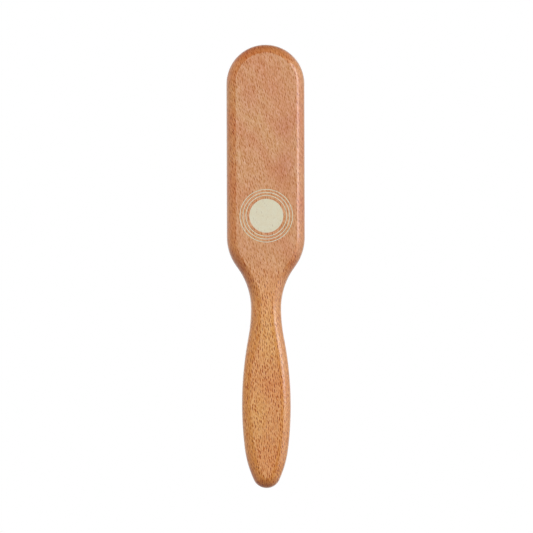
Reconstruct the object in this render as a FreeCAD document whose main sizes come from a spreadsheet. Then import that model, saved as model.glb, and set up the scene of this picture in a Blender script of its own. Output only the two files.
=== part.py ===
"""Wooden-pin scalp massager brush: paddle board, printed roundel, cushion, felt and five rows of pins.

Frame: +Z runs from the butt of the handle (z = 0) to the top of the head, +Y is the side the pins
stand on, +X is to the right seen from the back.  y = 0 is the flat rim of the board around the
cushion, the flat back is y = -board_thickness.  Lengths in millimetres, angles in degrees.
"Height" on the board is z; "depth" is measured from the rim towards the back.
"""
import FreeCAD, Part
import math
import os
import Sketcher
from FreeCAD import Placement, Rotation, Vector

doc = FreeCAD.newDocument("massager_brush")

# ---------------------------------------------------------------- driving dimensions
DIMS = [
    ("overall_length", 225.0, "butt to top of head"),
    ("head_half_width", 19.75, "half the paddle width, also the radius of the round top"),
    ("shoulder_height", 127.3, "where the parallel sides of the head end"),
    ("shoulder_radius", 25.0, "convex shoulder"),
    ("neck_half_width", 7.6, "half width at the narrowest place"),
    ("neck_height", 91.2, "height of the narrowest place"),
    ("neck_radius", 34.5, "concave flank between shoulder and neck"),
    ("belly_half_width", 12.36, "half width of the handle at its fullest"),
    ("belly_height", 42.0, "height of the fullest place"),
    ("belly_radius", 178.0, "long convex side of the handle"),
    ("taper_radius", 53.7, "convex taper to the butt"),
    ("butt_radius", 7.1, "round end of the handle in plan"),
    ("board_thickness", 15.0, "flat rim to flat back"),
    ("crown_step", 0.67, "stock left beyond the back flat before it is faced off"),
    ("ramp_low", 74.0, "height where the stock step starts"),
    ("ramp_high", 106.0, "height where the stock step is full"),
    ("fade_margin", 2.0, "reach of the fade cut beyond the back flat and below the butt"),
    ("back_round_head", 7.5, "edge radius on the back, head"),
    ("back_round_handle", 6.5, "edge radius on the back, handle"),
    ("front_round_head", 3.4, "edge radius on the pin side, head"),
    ("front_round_handle", 6.4, "edge radius on the pin side, handle"),
    ("blend_low", 60.0, "height where the edge radii start to change"),
    ("back_blend_high", 110.0, "height where the back edge radius is that of the head"),
    ("front_blend_high", 125.0, "height where the front edge radius is that of the head"),
    ("facing_margin", 10.0, "reach of the facing cut beyond both ends of the board"),
    ("recess_half_width", 14.6, "milled recess for the cushion"),
    ("recess_low", 127.0, "centre of the lower round end of the recess"),
    ("recess_depth", 6.5, "depth of the recess"),
    ("recess_overrun", 1.0, "reach of the recess cut above the rim"),
    ("groove_reach", 15.8, "half width of the undercut groove"),
    ("groove_top", 1.8, "depth of the side of the groove nearest the rim"),
    ("groove_width", 1.8, "size of the groove along y"),
    ("print_depth", 0.12, "ink layer set into the lacquer"),
    ("print_height", 138.1, "height of the centre of the print"),
    ("print_disc", 8.6, "radius of the solid disc"),
    ("print_ring_a", 10.1, "inner radius of the first ring"),
    ("print_ring_b", 11.6, "inner radius of the second ring"),
    ("print_ring_c", 13.1, "inner radius of the third ring"),
    ("print_ring_width", 0.4, "width of each ring"),
    ("dome_half_width", 14.2, "half width of the domed part of the cushion at the rim"),
    ("dome_rise", 3.6, "crown of the cushion above the rim"),
    ("rubber_thickness", 1.8, "wall of the cushion"),
    ("skirt_half_width", 14.5, "outside of the cushion skirt in the recess"),
    ("skirt_inside", 12.75, "inside of the cushion skirt"),
    ("bead_reach", 15.7, "outside of the bead in the groove"),
    ("bead_play", 0.05, "play of the bead in the groove"),
    ("vent_radius", 0.75, "air hole in the cushion"),
    ("hole_reach", 3.0, "reach of a hole cutter either side of the middle of the rubber"),
    ("felt_half_width", 12.4, "half width of the felt"),
    ("felt_play", 0.06, "gap between cushion and felt"),
    ("felt_thickness", 2.2, "thickness of the felt"),
    ("foot_radius", 2.3, "spherical underside of the pin foot"),
    ("foot_shoulder", 1.5, "flat top of the foot below the pivot"),
    ("shaft_radius", 1.25, "shaft where it passes the rubber"),
    ("shaft_hole_play", 0.03, "radial play of the shaft in the rubber"),
    ("socket_play", 0.08, "radial play of the foot in the felt"),
    ("end_socket_play", 0.42, "radial play of the foot in the felt at the row ends"),
    ("shaft_straight", 1.9, "cylindrical part of the shaft above the pivot"),
    ("shaft_tip_radius", 0.95, "shaft below the ball tip"),
    ("ball_radius", 1.5, "ball tip"),
    ("pin_stand", 15.0, "tallest tips above the rim"),
    ("pin_pitch", 8.0, "spacing of the pins along a row"),
    ("row_pitch", 5.2, "spacing of the rows"),
    ("pin_fan", 8.0, "outward lean of the outermost rows"),
    ("inner_fan", 4.0, "outward lean of the rows next to the middle one"),
    ("end_fan", 6.5, "lean of the last pins of the middle row towards the ends"),
    ("inner_end_fan", 3.6, "lean of the last pins of the inner rows towards the ends"),
    ("count_middle", 13, "pins in the middle row"),
    ("count_inner", 12, "pins in each row next to the middle one"),
    ("count_outer", 11, "pins in each outer row"),
]

# dimensions that follow from the ones above
DERIVED = [
    ("cap_height", "=overall_length - head_half_width",
     "centre of the round top, also of the upper round end of the recess"),
    ("dome_radius", "=(dome_half_width * dome_half_width + dome_rise * dome_rise) / (2 * dome_rise)",
     "outside of the dome"),
    ("dome_centre", "=dome_rise - dome_radius", "y of the centre of the dome arcs"),
    ("dome_inner", "=dome_radius - rubber_thickness", "inside of the dome"),
    ("dome_middle", "=dome_radius - rubber_thickness / 2", "middle of the rubber"),
    ("felt_outer", "=dome_inner - felt_play", "felt radius towards the rubber"),
    ("felt_inner", "=felt_outer - felt_thickness", "felt radius away from the rubber"),
    ("field_centre", "=(recess_low + cap_height) / 2", "height of the middle of the pin field"),
    ("end_reach", "=(count_middle - 1) / 2 * pin_pitch - (cap_height - recess_low) / 2",
     "last pin of the middle row beyond the recess end centre"),
    ("inner_end_reach", "=(count_inner - 1) / 2 * pin_pitch - (cap_height - recess_low) / 2",
     "last pin of the inner rows beyond the recess end centre"),
    ("pivot_middle", "=dome_centre + dome_middle", "y of the pivots, middle row"),
    ("pivot_inner", "=dome_centre + sqrt(dome_middle * dome_middle - row_pitch * row_pitch)",
     "y of the pivots, inner rows"),
    ("pivot_outer", "=dome_centre + sqrt(dome_middle * dome_middle - 4 * row_pitch * row_pitch)",
     "y of the pivots, outer rows"),
    ("pivot_middle_end", "=dome_centre + sqrt(dome_middle * dome_middle - end_reach * end_reach)",
     "y of the last pivots, middle row"),
    ("pivot_inner_end", "=dome_centre + sqrt(dome_middle * dome_middle - row_pitch * row_pitch"
                        " - inner_end_reach * inner_end_reach)",
     "y of the last pivots, inner rows"),
    ("skirt_top", "=dome_centre + sqrt(dome_inner * dome_inner - skirt_inside * skirt_inside)",
     "y where the inside of the skirt meets the dome"),
    ("felt_edge_top",
     "=dome_centre + sqrt(felt_outer * felt_outer - felt_half_width * felt_half_width)",
     "y of the felt edge towards the rubber"),
    ("felt_edge_low",
     "=dome_centre + sqrt(felt_inner * felt_inner - felt_half_width * felt_half_width)",
     "y of the felt edge away from the rubber"),
    ("foot_edge", "=sqrt(foot_radius * foot_radius - foot_shoulder * foot_shoulder)",
     "radius of the flat top of the foot"),
    ("pin_reach", "=pin_stand - pivot_middle", "pivot to tip"),
    ("ball_join", "=pin_reach - ball_radius"
                  " - sqrt(ball_radius * ball_radius - shaft_tip_radius * shaft_tip_radius)",
     "pivot to the start of the ball"),
    ("ramp_radius", "=((ramp_high - ramp_low) * (ramp_high - ramp_low) / 4"
                    " + crown_step * crown_step / 4) / crown_step",
     "both arcs of the fade"),
    ("ramp_middle", "=(ramp_high + ramp_low) / 2", "height where the two arcs meet"),
    ("ramp_middle_depth", "=board_thickness + crown_step / 2", "depth where the two arcs meet"),
]

sheet = doc.addObject("Spreadsheet::Sheet", "dims")
for line, (name, content, note) in enumerate(DIMS + DERIVED, start=1):
    sheet.set("A%d" % line, name)
    sheet.set("B%d" % line, str(content))
    sheet.set("C%d" % line, note)
    sheet.setAlias("B%d" % line, name)
    doc.recompute()
CELL = {name: float(sheet.get(name)) for name, _, _ in DIMS + DERIVED}


# ---------------------------------------------------------------- sketch helpers
def value(expression):
    """Value of a sum of cells and numbers with spaces around the signs: "- dims.a + dims.b"."""
    total, sign = 0.0, 1
    for word in expression.replace("dims.", "").split():
        if word in ("+", "-"):
            sign = 1 if word == "+" else -1
        else:
            total += sign * (CELL[word] if word in CELL else float(word))
    return total


def plane_of(body, role):
    """Origin plane or axis of a body."""
    return next(f for f in body.Origin.OriginFeatures if f.Role == role)


def new_sketch(body, name, role="XY_Plane", offset=None):
    """A sketch on an origin plane of the body; offset is an expression for its distance from it."""
    sketch = body.newObject("Sketcher::SketchObject", name)
    sketch.AttachmentSupport = [(plane_of(body, role), "")]
    sketch.MapMode = "FlatFace"
    if offset:
        sketch.setExpression("AttachmentOffset.Base.z", offset)
    doc.recompute()
    return sketch


def constrain(sketch, kind, *references):
    sketch.addConstraint(Sketcher.Constraint(kind, *references))


def dimension(sketch, kind, expression, *references):
    """A dimensional constraint bound to an expression of cells."""
    index = sketch.addConstraint(Sketcher.Constraint(kind, *references, value(expression)))
    sketch.setExpression("Constraints[%d]" % index, expression)


def pin_point(sketch, geo, pos, x, y):
    """Hold a vertex at (x, y), each an expression of cells; "0" puts it on the axis."""
    for kind, axis, expression in (("DistanceX", -2, x), ("DistanceY", -1, y)):
        if expression == "0":
            constrain(sketch, "PointOnObject", geo, pos, axis)
        else:
            dimension(sketch, kind, expression, -1, 1, geo, pos)


# add_line and add_arc return (geometry, position of its start, position of its end)
def add_line(sketch, start, end):
    return sketch.addGeometry(Part.LineSegment(start, end), False), 1, 2


def add_arc(sketch, centre, start, end, ccw):
    first, last = (math.atan2(p.y - centre.y, p.x - centre.x) for p in (start, end))
    if not ccw:
        first, last = last, first
    if last < first:
        last += 2 * math.pi
    circle = Part.Circle(centre, Vector(0, 0, 1), (start - centre).Length)
    geo = sketch.addGeometry(Part.ArcOfCircle(circle, first, last), False)
    return (geo, 1, 2) if ccw else (geo, 2, 1)


def arc_centre(start, end, radius, ccw):
    """Centre of the shorter arc of the given radius from start to end."""
    chord = end - start
    rise = math.sqrt(max(radius * radius - chord.Length ** 2 / 4, 0.0))
    across = Vector(-chord.y, chord.x, 0) * (rise / chord.Length)
    return (start + end) * 0.5 + across * (1 if ccw else -1)


def closed_profile(sketch, corners, arcs):
    """Closed outline through corners (pairs of expressions).

    arcs maps the number of a side to (radius expression, ccw); the other sides are straight.
    """
    points = [Vector(value(x), value(y), 0) for x, y in corners]
    sides = []
    for i, (start, end) in enumerate(zip(points, points[1:] + points[:1])):
        if i in arcs:
            radius, ccw = arcs[i]
            centre = arc_centre(start, end, value(radius), ccw)
            sides.append(add_arc(sketch, centre, start, end, ccw))
        else:
            sides.append(add_line(sketch, start, end))
    for here, after in zip(sides, sides[1:] + sides[:1]):
        constrain(sketch, "Coincident", here[0], here[2], after[0], after[1])
    for i, (geo, first, _) in enumerate(sides):
        pin_point(sketch, geo, first, *corners[i])
        if i in arcs:
            dimension(sketch, "Radius", arcs[i][0], geo)
    doc.recompute()
    return sketch


# ---------------------------------------------------------------- feature helpers
def new_body(name):
    body = doc.addObject("PartDesign::Body", name)
    body.Label = name
    return body


def finish(body, feature):
    """Make a feature the tip of its body."""
    body.Tip = feature
    doc.recompute()
    return feature


def pad(body, sketch, length, name):
    feature = body.newObject("PartDesign::Pad", name)
    feature.Profile = sketch
    feature.setExpression("Length", length)
    return finish(body, feature)


def revolve(body, sketch, angle, name, reverse=False):
    """Turn a sketch about its vertical axis."""
    feature = body.newObject("PartDesign::Revolution", name)
    feature.Profile = sketch
    feature.ReferenceAxis = (sketch, ["V_Axis"])
    feature.Angle = angle
    feature.Reversed = reverse
    return finish(body, feature)


def mirror(body, original, name):
    """Add the other half, across x = 0."""
    feature = body.newObject("PartDesign::Mirrored", name)
    feature.Originals = [original]
    feature.MirrorPlane = (plane_of(body, "YZ_Plane"), [""])
    return finish(body, feature)


def repeat(body, original, count, name):
    """Row of equal features along Z, one pin pitch apart."""
    pattern = body.newObject("PartDesign::LinearPattern", name)
    pattern.Originals = [original]
    pattern.Direction = (plane_of(body, "Z_Axis"), [""])
    pattern.setExpression("Length", "(%s - 1) * dims.pin_pitch" % count)
    pattern.setExpression("Occurrences", count)
    return finish(body, pattern)


def cut(name, base, tool):
    feature = doc.addObject("Part::Cut", name)
    feature.Base = base
    feature.Tool = tool
    doc.recompute()
    return feature


# ---------------------------------------------------------------- board outline
def outline_sides():
    """Right half of the outline from top to butt.

    Returns the joints between the sides, and for each side (centre, ccw), or None if straight.
    """
    length, half, cap = CELL["overall_length"], CELL["head_half_width"], CELL["cap_height"]
    shoulder_radius, neck_radius = CELL["shoulder_radius"], CELL["neck_radius"]
    belly_radius, butt_radius = CELL["belly_radius"], CELL["butt_radius"]

    shoulder = Vector(half - shoulder_radius, CELL["shoulder_height"], 0)
    narrowest = Vector(CELL["neck_half_width"], CELL["neck_height"], 0)
    neck = narrowest + Vector(neck_radius, 0, 0)
    belly = Vector(CELL["belly_half_width"] - belly_radius, CELL["belly_height"], 0)
    butt = Vector(0, butt_radius, 0)

    # straight flank tangent to shoulder and neck, which bend opposite ways
    to_neck = neck - shoulder
    turn = math.atan2(to_neck.y, to_neck.x) + math.acos(
        (shoulder_radius + neck_radius) / to_neck.Length)
    normal = Vector(math.cos(turn), math.sin(turn), 0)
    on_shoulder = shoulder + normal * shoulder_radius
    on_neck = neck - normal * neck_radius

    # concave flare that leaves the narrowest place upright and runs tangent into the belly
    across = CELL["neck_half_width"] - CELL["belly_half_width"]
    down = CELL["neck_height"] - CELL["belly_height"]
    flare_radius = (across * across + down * down) / (-2 * across) - belly_radius
    flare = narrowest + Vector(flare_radius, 0, 0)
    to_belly = belly - flare
    on_belly = flare + to_belly * (flare_radius / to_belly.Length)

    # taper tangent inside the belly arc and around the butt arc
    from_belly = belly_radius - CELL["taper_radius"]
    from_butt = CELL["taper_radius"] - butt_radius
    to_butt = butt - belly
    apart = to_butt.Length
    along = (from_belly * from_belly - from_butt * from_butt + apart * apart) / (2 * apart)
    aside = math.sqrt(from_belly * from_belly - along * along)
    square = Vector(-to_butt.y, to_butt.x, 0)
    taper = belly + to_butt * (along / apart) + square * (aside / apart)
    on_taper = belly + (taper - belly) * (belly_radius / from_belly)
    on_butt = butt + (butt - taper) * (butt_radius / from_butt)

    joints = [Vector(0, length, 0), Vector(half, cap, 0), Vector(half, CELL["shoulder_height"], 0),
              on_shoulder, on_neck, narrowest, on_belly, on_taper, on_butt, Vector(0, 0, 0)]
    sides = [(Vector(0, cap, 0), False), None, (shoulder, False), None, (neck, True),
             (flare, True), (belly, False), (taper, False), (butt, False)]
    return joints, sides


def half_outline(sketch):
    """Right half of the board outline: a tangent chain from the top to the butt, and a spine."""
    joints, sides = outline_sides()
    chain = []
    for start, end, side in zip(joints, joints[1:], sides):
        if side:
            chain.append(add_arc(sketch, side[0], start, end, side[1]))
        else:
            chain.append(add_line(sketch, start, end))
    spine = add_line(sketch, joints[-1], joints[0])[0]
    for here, after in zip(chain, chain[1:]):
        constrain(sketch, "Tangent", here[0], here[2], after[0], after[1])
    top, flank, shoulder, _, neck, _, belly, taper, butt = (side[0] for side in chain)
    top_start, neck_end, butt_end = chain[0][1], chain[4][2], chain[8][2]
    constrain(sketch, "Coincident", spine, 1, -1, 1)
    constrain(sketch, "Vertical", spine)
    constrain(sketch, "Coincident", spine, 2, top, top_start)
    constrain(sketch, "Coincident", spine, 1, butt, butt_end)
    dimension(sketch, "DistanceY", "dims.overall_length", spine, 1, spine, 2)
    constrain(sketch, "PointOnObject", top, 3, -2)
    dimension(sketch, "Radius", "dims.head_half_width", top)
    constrain(sketch, "Vertical", flank)
    dimension(sketch, "DistanceY", "dims.shoulder_height", -1, 1, shoulder, 3)
    dimension(sketch, "Radius", "dims.shoulder_radius", shoulder)
    dimension(sketch, "Radius", "dims.neck_radius", neck)
    dimension(sketch, "DistanceX", "dims.neck_half_width", -1, 1, neck, neck_end)
    dimension(sketch, "DistanceY", "dims.neck_height", -1, 1, neck, neck_end)
    dimension(sketch, "DistanceY", "dims.neck_height", -1, 1, neck, 3)
    dimension(sketch, "Radius", "dims.belly_radius", belly)
    dimension(sketch, "DistanceY", "dims.belly_height", -1, 1, belly, 3)
    dimension(sketch, "DistanceX", "dims.belly_half_width - dims.belly_radius", -1, 1, belly, 3)
    dimension(sketch, "Radius", "dims.taper_radius", taper)
    constrain(sketch, "PointOnObject", butt, 3, -2)
    dimension(sketch, "Radius", "dims.butt_radius", butt)
    doc.recompute()
    return sketch


# ---------------------------------------------------------------- board blank
blank = new_body("board_blank")
half_plan = half_outline(new_sketch(blank, "half_plan", "XZ_Plane"))
half_board = pad(blank, half_plan, "dims.board_thickness + dims.crown_step", "half_board")
mirror(blank, half_board, "both_halves")

# the stock step on the back fades out between ramp_low and ramp_high in an S of two tangent arcs
fade = closed_profile(new_sketch(blank, "back_fade", "YZ_Plane"), [
    ("- dims.board_thickness - dims.fade_margin", "- dims.fade_margin"),
    ("- dims.board_thickness", "- dims.fade_margin"),
    ("- dims.board_thickness", "dims.ramp_low"),
    ("- dims.ramp_middle_depth", "dims.ramp_middle"),
    ("- dims.board_thickness - dims.crown_step", "dims.ramp_high"),
    ("- dims.board_thickness - dims.fade_margin", "dims.ramp_high"),
], {2: ("dims.ramp_radius", True), 3: ("dims.ramp_radius", False)})
fade_cut = blank.newObject("PartDesign::Pocket", "fade_cut")
fade_cut.Profile = fade
fade_cut.Type = 1  # through all
fade_cut.Midplane = True
finish(blank, fade_cut)

# ---------------------------------------------------------------- rounded edges
DEPTH_TOLERANCE = 1e-4
LEVEL_TOLERANCE = 1e-6


def blend(height, handle, head, low, high):
    """A radius that goes smoothly from the handle's to the head's between two heights."""
    part = min(max((height - low) / (high - low), 0.0), 1.0)
    return handle + (head - handle) * part * part * (3 - 2 * part)


def outline_edges(shape, level):
    """Outline edges on the "front" or "back" as (index, height of one end, height of the other)."""
    found = []
    for index, edge in enumerate(shape.Edges, start=1):
        ends = edge.Vertexes
        middle = edge.valueAt((edge.FirstParameter + edge.LastParameter) / 2)
        depths = [v.Y for v in ends] + [middle.y]
        if level == "front" and min(depths) < -DEPTH_TOLERANCE:
            continue
        if level == "back":
            if max(depths) > -CELL["board_thickness"] + DEPTH_TOLERANCE:
                continue
            # edges straight across the back belong to the fade, not to the outline
            if (abs(ends[0].Z - ends[1].Z) < LEVEL_TOLERANCE
                    and abs(middle.z - ends[0].Z) < LEVEL_TOLERANCE):
                continue
        found.append((index, ends[0].Z, ends[1].Z))
    return found


def round_over(base, level):
    """Fillet one side of the outline, with the radius blended along the neck."""
    sizes = [CELL[level + "_round_handle"], CELL[level + "_round_head"],
             CELL["blend_low"], CELL[level + "_blend_high"]]
    feature = doc.addObject("Part::Fillet", "rounded_" + level)
    feature.Base = base
    feature.Edges = [(index, blend(first, *sizes), blend(last, *sizes))
                     for index, first, last in outline_edges(base.Shape, level)]
    doc.recompute()
    return feature


rounded = round_over(round_over(blank, "back"), "front")

# the back is faced flat; on the head this leaves a crisp line where the round-over is cut short
facing = doc.addObject("Part::Box", "facing")
for path, expression in (
    ("Length", "4 * dims.head_half_width"),
    ("Width", "dims.board_thickness"),
    ("Height", "dims.overall_length + 2 * dims.facing_margin"),
    ("Placement.Base.x", "- 2 * dims.head_half_width"),
    ("Placement.Base.y", "- 2 * dims.board_thickness"),
    ("Placement.Base.z", "- dims.facing_margin"),
):
    facing.setExpression(path, expression)
doc.recompute()
faced = cut("faced_board", rounded, facing)


# ---------------------------------------------------------------- recess with undercut groove
def stadium(sketch, reach):
    """Slot outline along Z between the recess centres, in a sketch on the XZ plane."""
    half, low, high = CELL[reach], CELL["recess_low"], CELL["cap_height"]
    top_right, top_left = Vector(half, high, 0), Vector(-half, high, 0)
    low_right, low_left = Vector(half, low, 0), Vector(-half, low, 0)
    sides = [
        add_arc(sketch, Vector(0, high, 0), top_right, top_left, True),
        add_line(sketch, top_left, low_left),
        add_arc(sketch, Vector(0, low, 0), low_left, low_right, True),
        add_line(sketch, low_right, top_right),
    ]
    for here, after in zip(sides, sides[1:] + sides[:1]):
        constrain(sketch, "Tangent", here[0], here[2], after[0], after[1])
    top, bottom = sides[0][0], sides[2][0]
    constrain(sketch, "PointOnObject", top, 3, -2)
    constrain(sketch, "PointOnObject", bottom, 3, -2)
    dimension(sketch, "DistanceY", "dims.cap_height", -1, 1, top, 3)
    dimension(sketch, "DistanceY", "dims.recess_low", -1, 1, bottom, 3)
    dimension(sketch, "Radius", "dims." + reach, top)
    doc.recompute()
    return sketch


# the normal of an XZ sketch points to -Y, so offsets and pads there are depths
recess = new_body("recess_tool")
pocket_plan = stadium(new_sketch(recess, "pocket_plan", "XZ_Plane", "- dims.recess_overrun"),
                      "recess_half_width")
pad(recess, pocket_plan, "dims.recess_depth + dims.recess_overrun", "pocket_fill")
groove_plan = stadium(new_sketch(recess, "groove_plan", "XZ_Plane", "dims.groove_top"),
                      "groove_reach")
pad(recess, groove_plan, "dims.groove_width", "groove_fill")
routed = cut("routed_board", faced, recess)

# ---------------------------------------------------------------- print on the back
roundel = new_body("printed_roundel")
roundel.AllowCompound = True
marks = new_sketch(roundel, "print_plan", "XZ_Plane", "dims.board_thickness - dims.print_depth")
radii = ["dims.print_disc"]
for ring in ("dims.print_ring_a", "dims.print_ring_b", "dims.print_ring_c"):
    radii += [ring, ring + " + dims.print_ring_width"]
for radius in radii:
    circle = Part.Circle(Vector(0, CELL["print_height"], 0), Vector(0, 0, 1), value(radius))
    geo = marks.addGeometry(circle, False)
    constrain(marks, "PointOnObject", geo, 3, -2)
    dimension(marks, "DistanceY", "dims.print_height", -1, 1, geo, 3)
    dimension(marks, "Radius", radius, geo)
doc.recompute()
pad(roundel, marks, "dims.print_depth", "ink")

wooden_body = cut("wooden_body", routed, roundel)
wooden_body.Label = "wooden_body"


# ---------------------------------------------------------------- pin sites
def lean(across, along):
    """Rotation that tips +Y towards +X by `across` and towards +Z by `along`, in degrees."""
    toward = Vector(math.tan(math.radians(across)), 1, math.tan(math.radians(along)))
    return Rotation(Vector(0, 1, 0), toward)


def row_sites(row, x, count, pivot, across, end_pivot=None, end_lean=0.0):
    """Sites of one row: (row, x, y, z of the first pin, rotation, count or None).

    With end_pivot, the two last pins of the row are sites of their own, with count None.
    """
    first = "dims.field_centre - (%s - %d) / 2 * dims.pin_pitch" % (count, 3 if end_pivot else 1)
    group = count + " - 2" if end_pivot else count
    sites = [(row, x, pivot, first, lean(across, 0.0), group)]
    if end_pivot:
        for end, sign in ((-1, "-"), (1, "+")):
            last = "dims.field_centre %s (%s - 1) / 2 * dims.pin_pitch" % (sign, count)
            sites.append((row, x, end_pivot, last, lean(across, end * end_lean), None))
    return sites


# rows 1 to 5 run from -X to +X
SITES = []
for row, side, x in ((1, -1, "- 2 * dims.row_pitch"), (5, 1, "2 * dims.row_pitch")):
    SITES += row_sites(row, x, "dims.count_outer", "dims.pivot_outer", side * CELL["pin_fan"])
for row, side, x in ((2, -1, "- dims.row_pitch"), (4, 1, "dims.row_pitch")):
    SITES += row_sites(row, x, "dims.count_inner", "dims.pivot_inner", side * CELL["inner_fan"],
                       "dims.pivot_inner_end", CELL["inner_end_fan"])
SITES += row_sites(3, "0", "dims.count_middle", "dims.pivot_middle", 0.0,
                   "dims.pivot_middle_end", CELL["end_fan"])


# ---------------------------------------------------------------- pins
def pin_body(name, x, y, z, rotation, count):
    """One turned pin or a row of them: mushroom foot around the pivot, tapered shaft, ball tip."""
    body = new_body(name)
    body.AllowCompound = True
    profile = closed_profile(new_sketch(body, name + "_profile"), [
        ("0", "- dims.foot_radius"),
        ("dims.foot_edge", "- dims.foot_shoulder"),
        ("dims.shaft_radius", "- dims.foot_shoulder"),
        ("dims.shaft_radius", "dims.shaft_straight"),
        ("dims.shaft_tip_radius", "dims.ball_join"),
        ("0", "dims.pin_reach"),
    ], {0: ("dims.foot_radius", True), 4: ("dims.ball_radius", True)})
    turned = revolve(body, profile, 360, name + "_turned")
    if count:
        repeat(body, turned, count, name + "_row")
    body.Placement = Placement(Vector(0, 0, 0), rotation)
    if x != "0":
        body.setExpression("Placement.Base.x", x)
    body.setExpression("Placement.Base.y", y)
    body.setExpression("Placement.Base.z", z)
    doc.recompute()
    return body


row_bodies = {}
for row, *site in SITES:
    bodies = row_bodies.setdefault(row, [])
    bodies.append(pin_body("pins_%d_%d" % (row, len(bodies)), *site))
pin_rows = []
for row in sorted(row_bodies):
    compound = doc.addObject("Part::Compound", "pin_row_%d" % row)
    compound.Label = "pin_row_%d" % row
    compound.Links = row_bodies[row]
    pin_rows.append(compound)
doc.recompute()


# ---------------------------------------------------------------- cushion and felt
def domed_body(name, corners, arcs):
    """Half section along the straight part, mirrored, and turned half a revolution at each end."""
    body = new_body(name)
    low = closed_profile(new_sketch(body, name + "_section", "XY_Plane", "dims.recess_low"),
                         corners, arcs)
    high = closed_profile(new_sketch(body, name + "_section_top", "XY_Plane", "dims.cap_height"),
                          corners, arcs)
    side = pad(body, low, "dims.cap_height - dims.recess_low", name + "_side")
    mirror(body, side, name + "_other_side")
    clear = 5  # a cap turned outwards reaches further than this past its section
    for end, sketch, back in (("low", low, False), ("top", high, True)):
        cap = revolve(body, sketch, 180, "%s_%s_end" % (name, end), back)
        box = body.Shape.BoundBox
        if end == "low":
            inwards = box.ZMin > CELL["recess_low"] - clear
        else:
            inwards = box.ZMax < CELL["cap_height"] + clear
        # the sense of the half turn depends on the sketch axis; flip a cap that went inwards
        if inwards:
            cap.Reversed = not back
            doc.recompute()
    return body


def cut_at_pins(body, kind, name, radius, end_radius):
    """Subtract a cylinder or a sphere at every pivot; end_radius is for the single end pins."""
    for number, (_, x, y, z, rotation, count) in enumerate(SITES):
        tool = body.newObject("PartDesign::" + kind, "%s_%d" % (name, number))
        tool.setExpression("Radius", radius if count else end_radius)
        start = Vector(0, 0, 0)
        if kind == "SubtractiveCylinder":
            tool.setExpression("Height", "2 * dims.hole_reach")
            start = rotation.multVec(Vector(0, -CELL["hole_reach"], 0))
            rotation = rotation * Rotation(Vector(1, 0, 0), -90)
        tool.Placement = Placement(Vector(0, 0, 0), rotation)
        for axis, pivot, shift in (("x", x, start.x), ("y", y, start.y), ("z", z, start.z)):
            tool.setExpression("Placement.Base." + axis, "%s + (%.9f)" % (pivot, shift))
        finish(body, tool)
        if count:
            repeat(body, tool, count, "%s_row_%d" % (name, number))


cushion = domed_body("rubber_cushion", [
    ("0", "dims.dome_rise"),
    ("dims.dome_half_width", "0"),
    ("dims.skirt_half_width", "dims.dome_half_width - dims.skirt_half_width"),
    ("dims.skirt_half_width", "- dims.groove_top - dims.bead_play"),
    ("dims.bead_reach", "- dims.groove_top - dims.bead_play"),
    ("dims.bead_reach", "- dims.groove_top - dims.groove_width + dims.bead_play"),
    ("dims.skirt_inside", "- dims.groove_top - dims.groove_width + dims.bead_play"),
    ("dims.skirt_inside", "dims.skirt_top"),
    ("0", "dims.dome_rise - dims.rubber_thickness"),
], {0: ("dims.dome_radius", False), 7: ("dims.dome_inner", True)})
hole_radius = "dims.shaft_radius + dims.shaft_hole_play"
cut_at_pins(cushion, "SubtractiveCylinder", "pin_hole", hole_radius, hole_radius)

# air hole on the centre line, level with the lowest pins of the inner rows
vent = cushion.newObject("PartDesign::SubtractiveCylinder", "vent")
vent.setExpression("Radius", "dims.vent_radius")
vent.setExpression("Height", "2 * dims.hole_reach")
vent.Placement = Placement(Vector(0, 0, 0), Rotation(Vector(1, 0, 0), -90))
vent.setExpression("Placement.Base.y", "dims.pivot_middle - dims.hole_reach")
vent.setExpression("Placement.Base.z",
                   "dims.field_centre - (dims.count_inner - 1) / 2 * dims.pin_pitch")
finish(cushion, vent)

felt = domed_body("felt_backing", [
    ("0", "dims.dome_centre + dims.felt_outer"),
    ("dims.felt_half_width", "dims.felt_edge_top"),
    ("dims.felt_half_width", "dims.felt_edge_low"),
    ("0", "dims.dome_centre + dims.felt_inner"),
], {0: ("dims.felt_outer", False), 2: ("dims.felt_inner", True)})
cut_at_pins(felt, "SubtractiveSphere", "socket", "dims.foot_radius + dims.socket_play",
            "dims.foot_radius + dims.end_socket_play")

# ---------------------------------------------------------------- checks and output
outer, inner, middle = (int(CELL["count_" + row]) for row in ("outer", "inner", "middle"))
# each piece with the number of solids it must have
PIECES = [(wooden_body, 1), (roundel, 4), (cushion, 1), (felt, 1)]
PIECES += zip(pin_rows, (outer, inner, middle, inner, outer))
doc.recompute()
bad = ["%s: %s" % (item.Name, item.State) for item in doc.Objects
       if any(word in item.State for word in ("Invalid", "Error"))]
for piece, solids in PIECES:
    if piece.Shape.isNull() or not piece.Shape.isValid():
        bad.append("%s: no valid shape" % piece.Label)
    if len(piece.Shape.Solids) != solids:
        bad.append("%s: %d solids" % (piece.Label, len(piece.Shape.Solids)))
if bad:
    raise RuntimeError("; ".join(bad))
os.makedirs("parts", exist_ok=True)
for piece, _ in PIECES:
    piece.Shape.exportStep("parts/%s.step" % piece.Label)
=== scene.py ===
import math

import bmesh
import bpy
import numpy as np
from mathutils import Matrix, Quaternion, Vector

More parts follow.
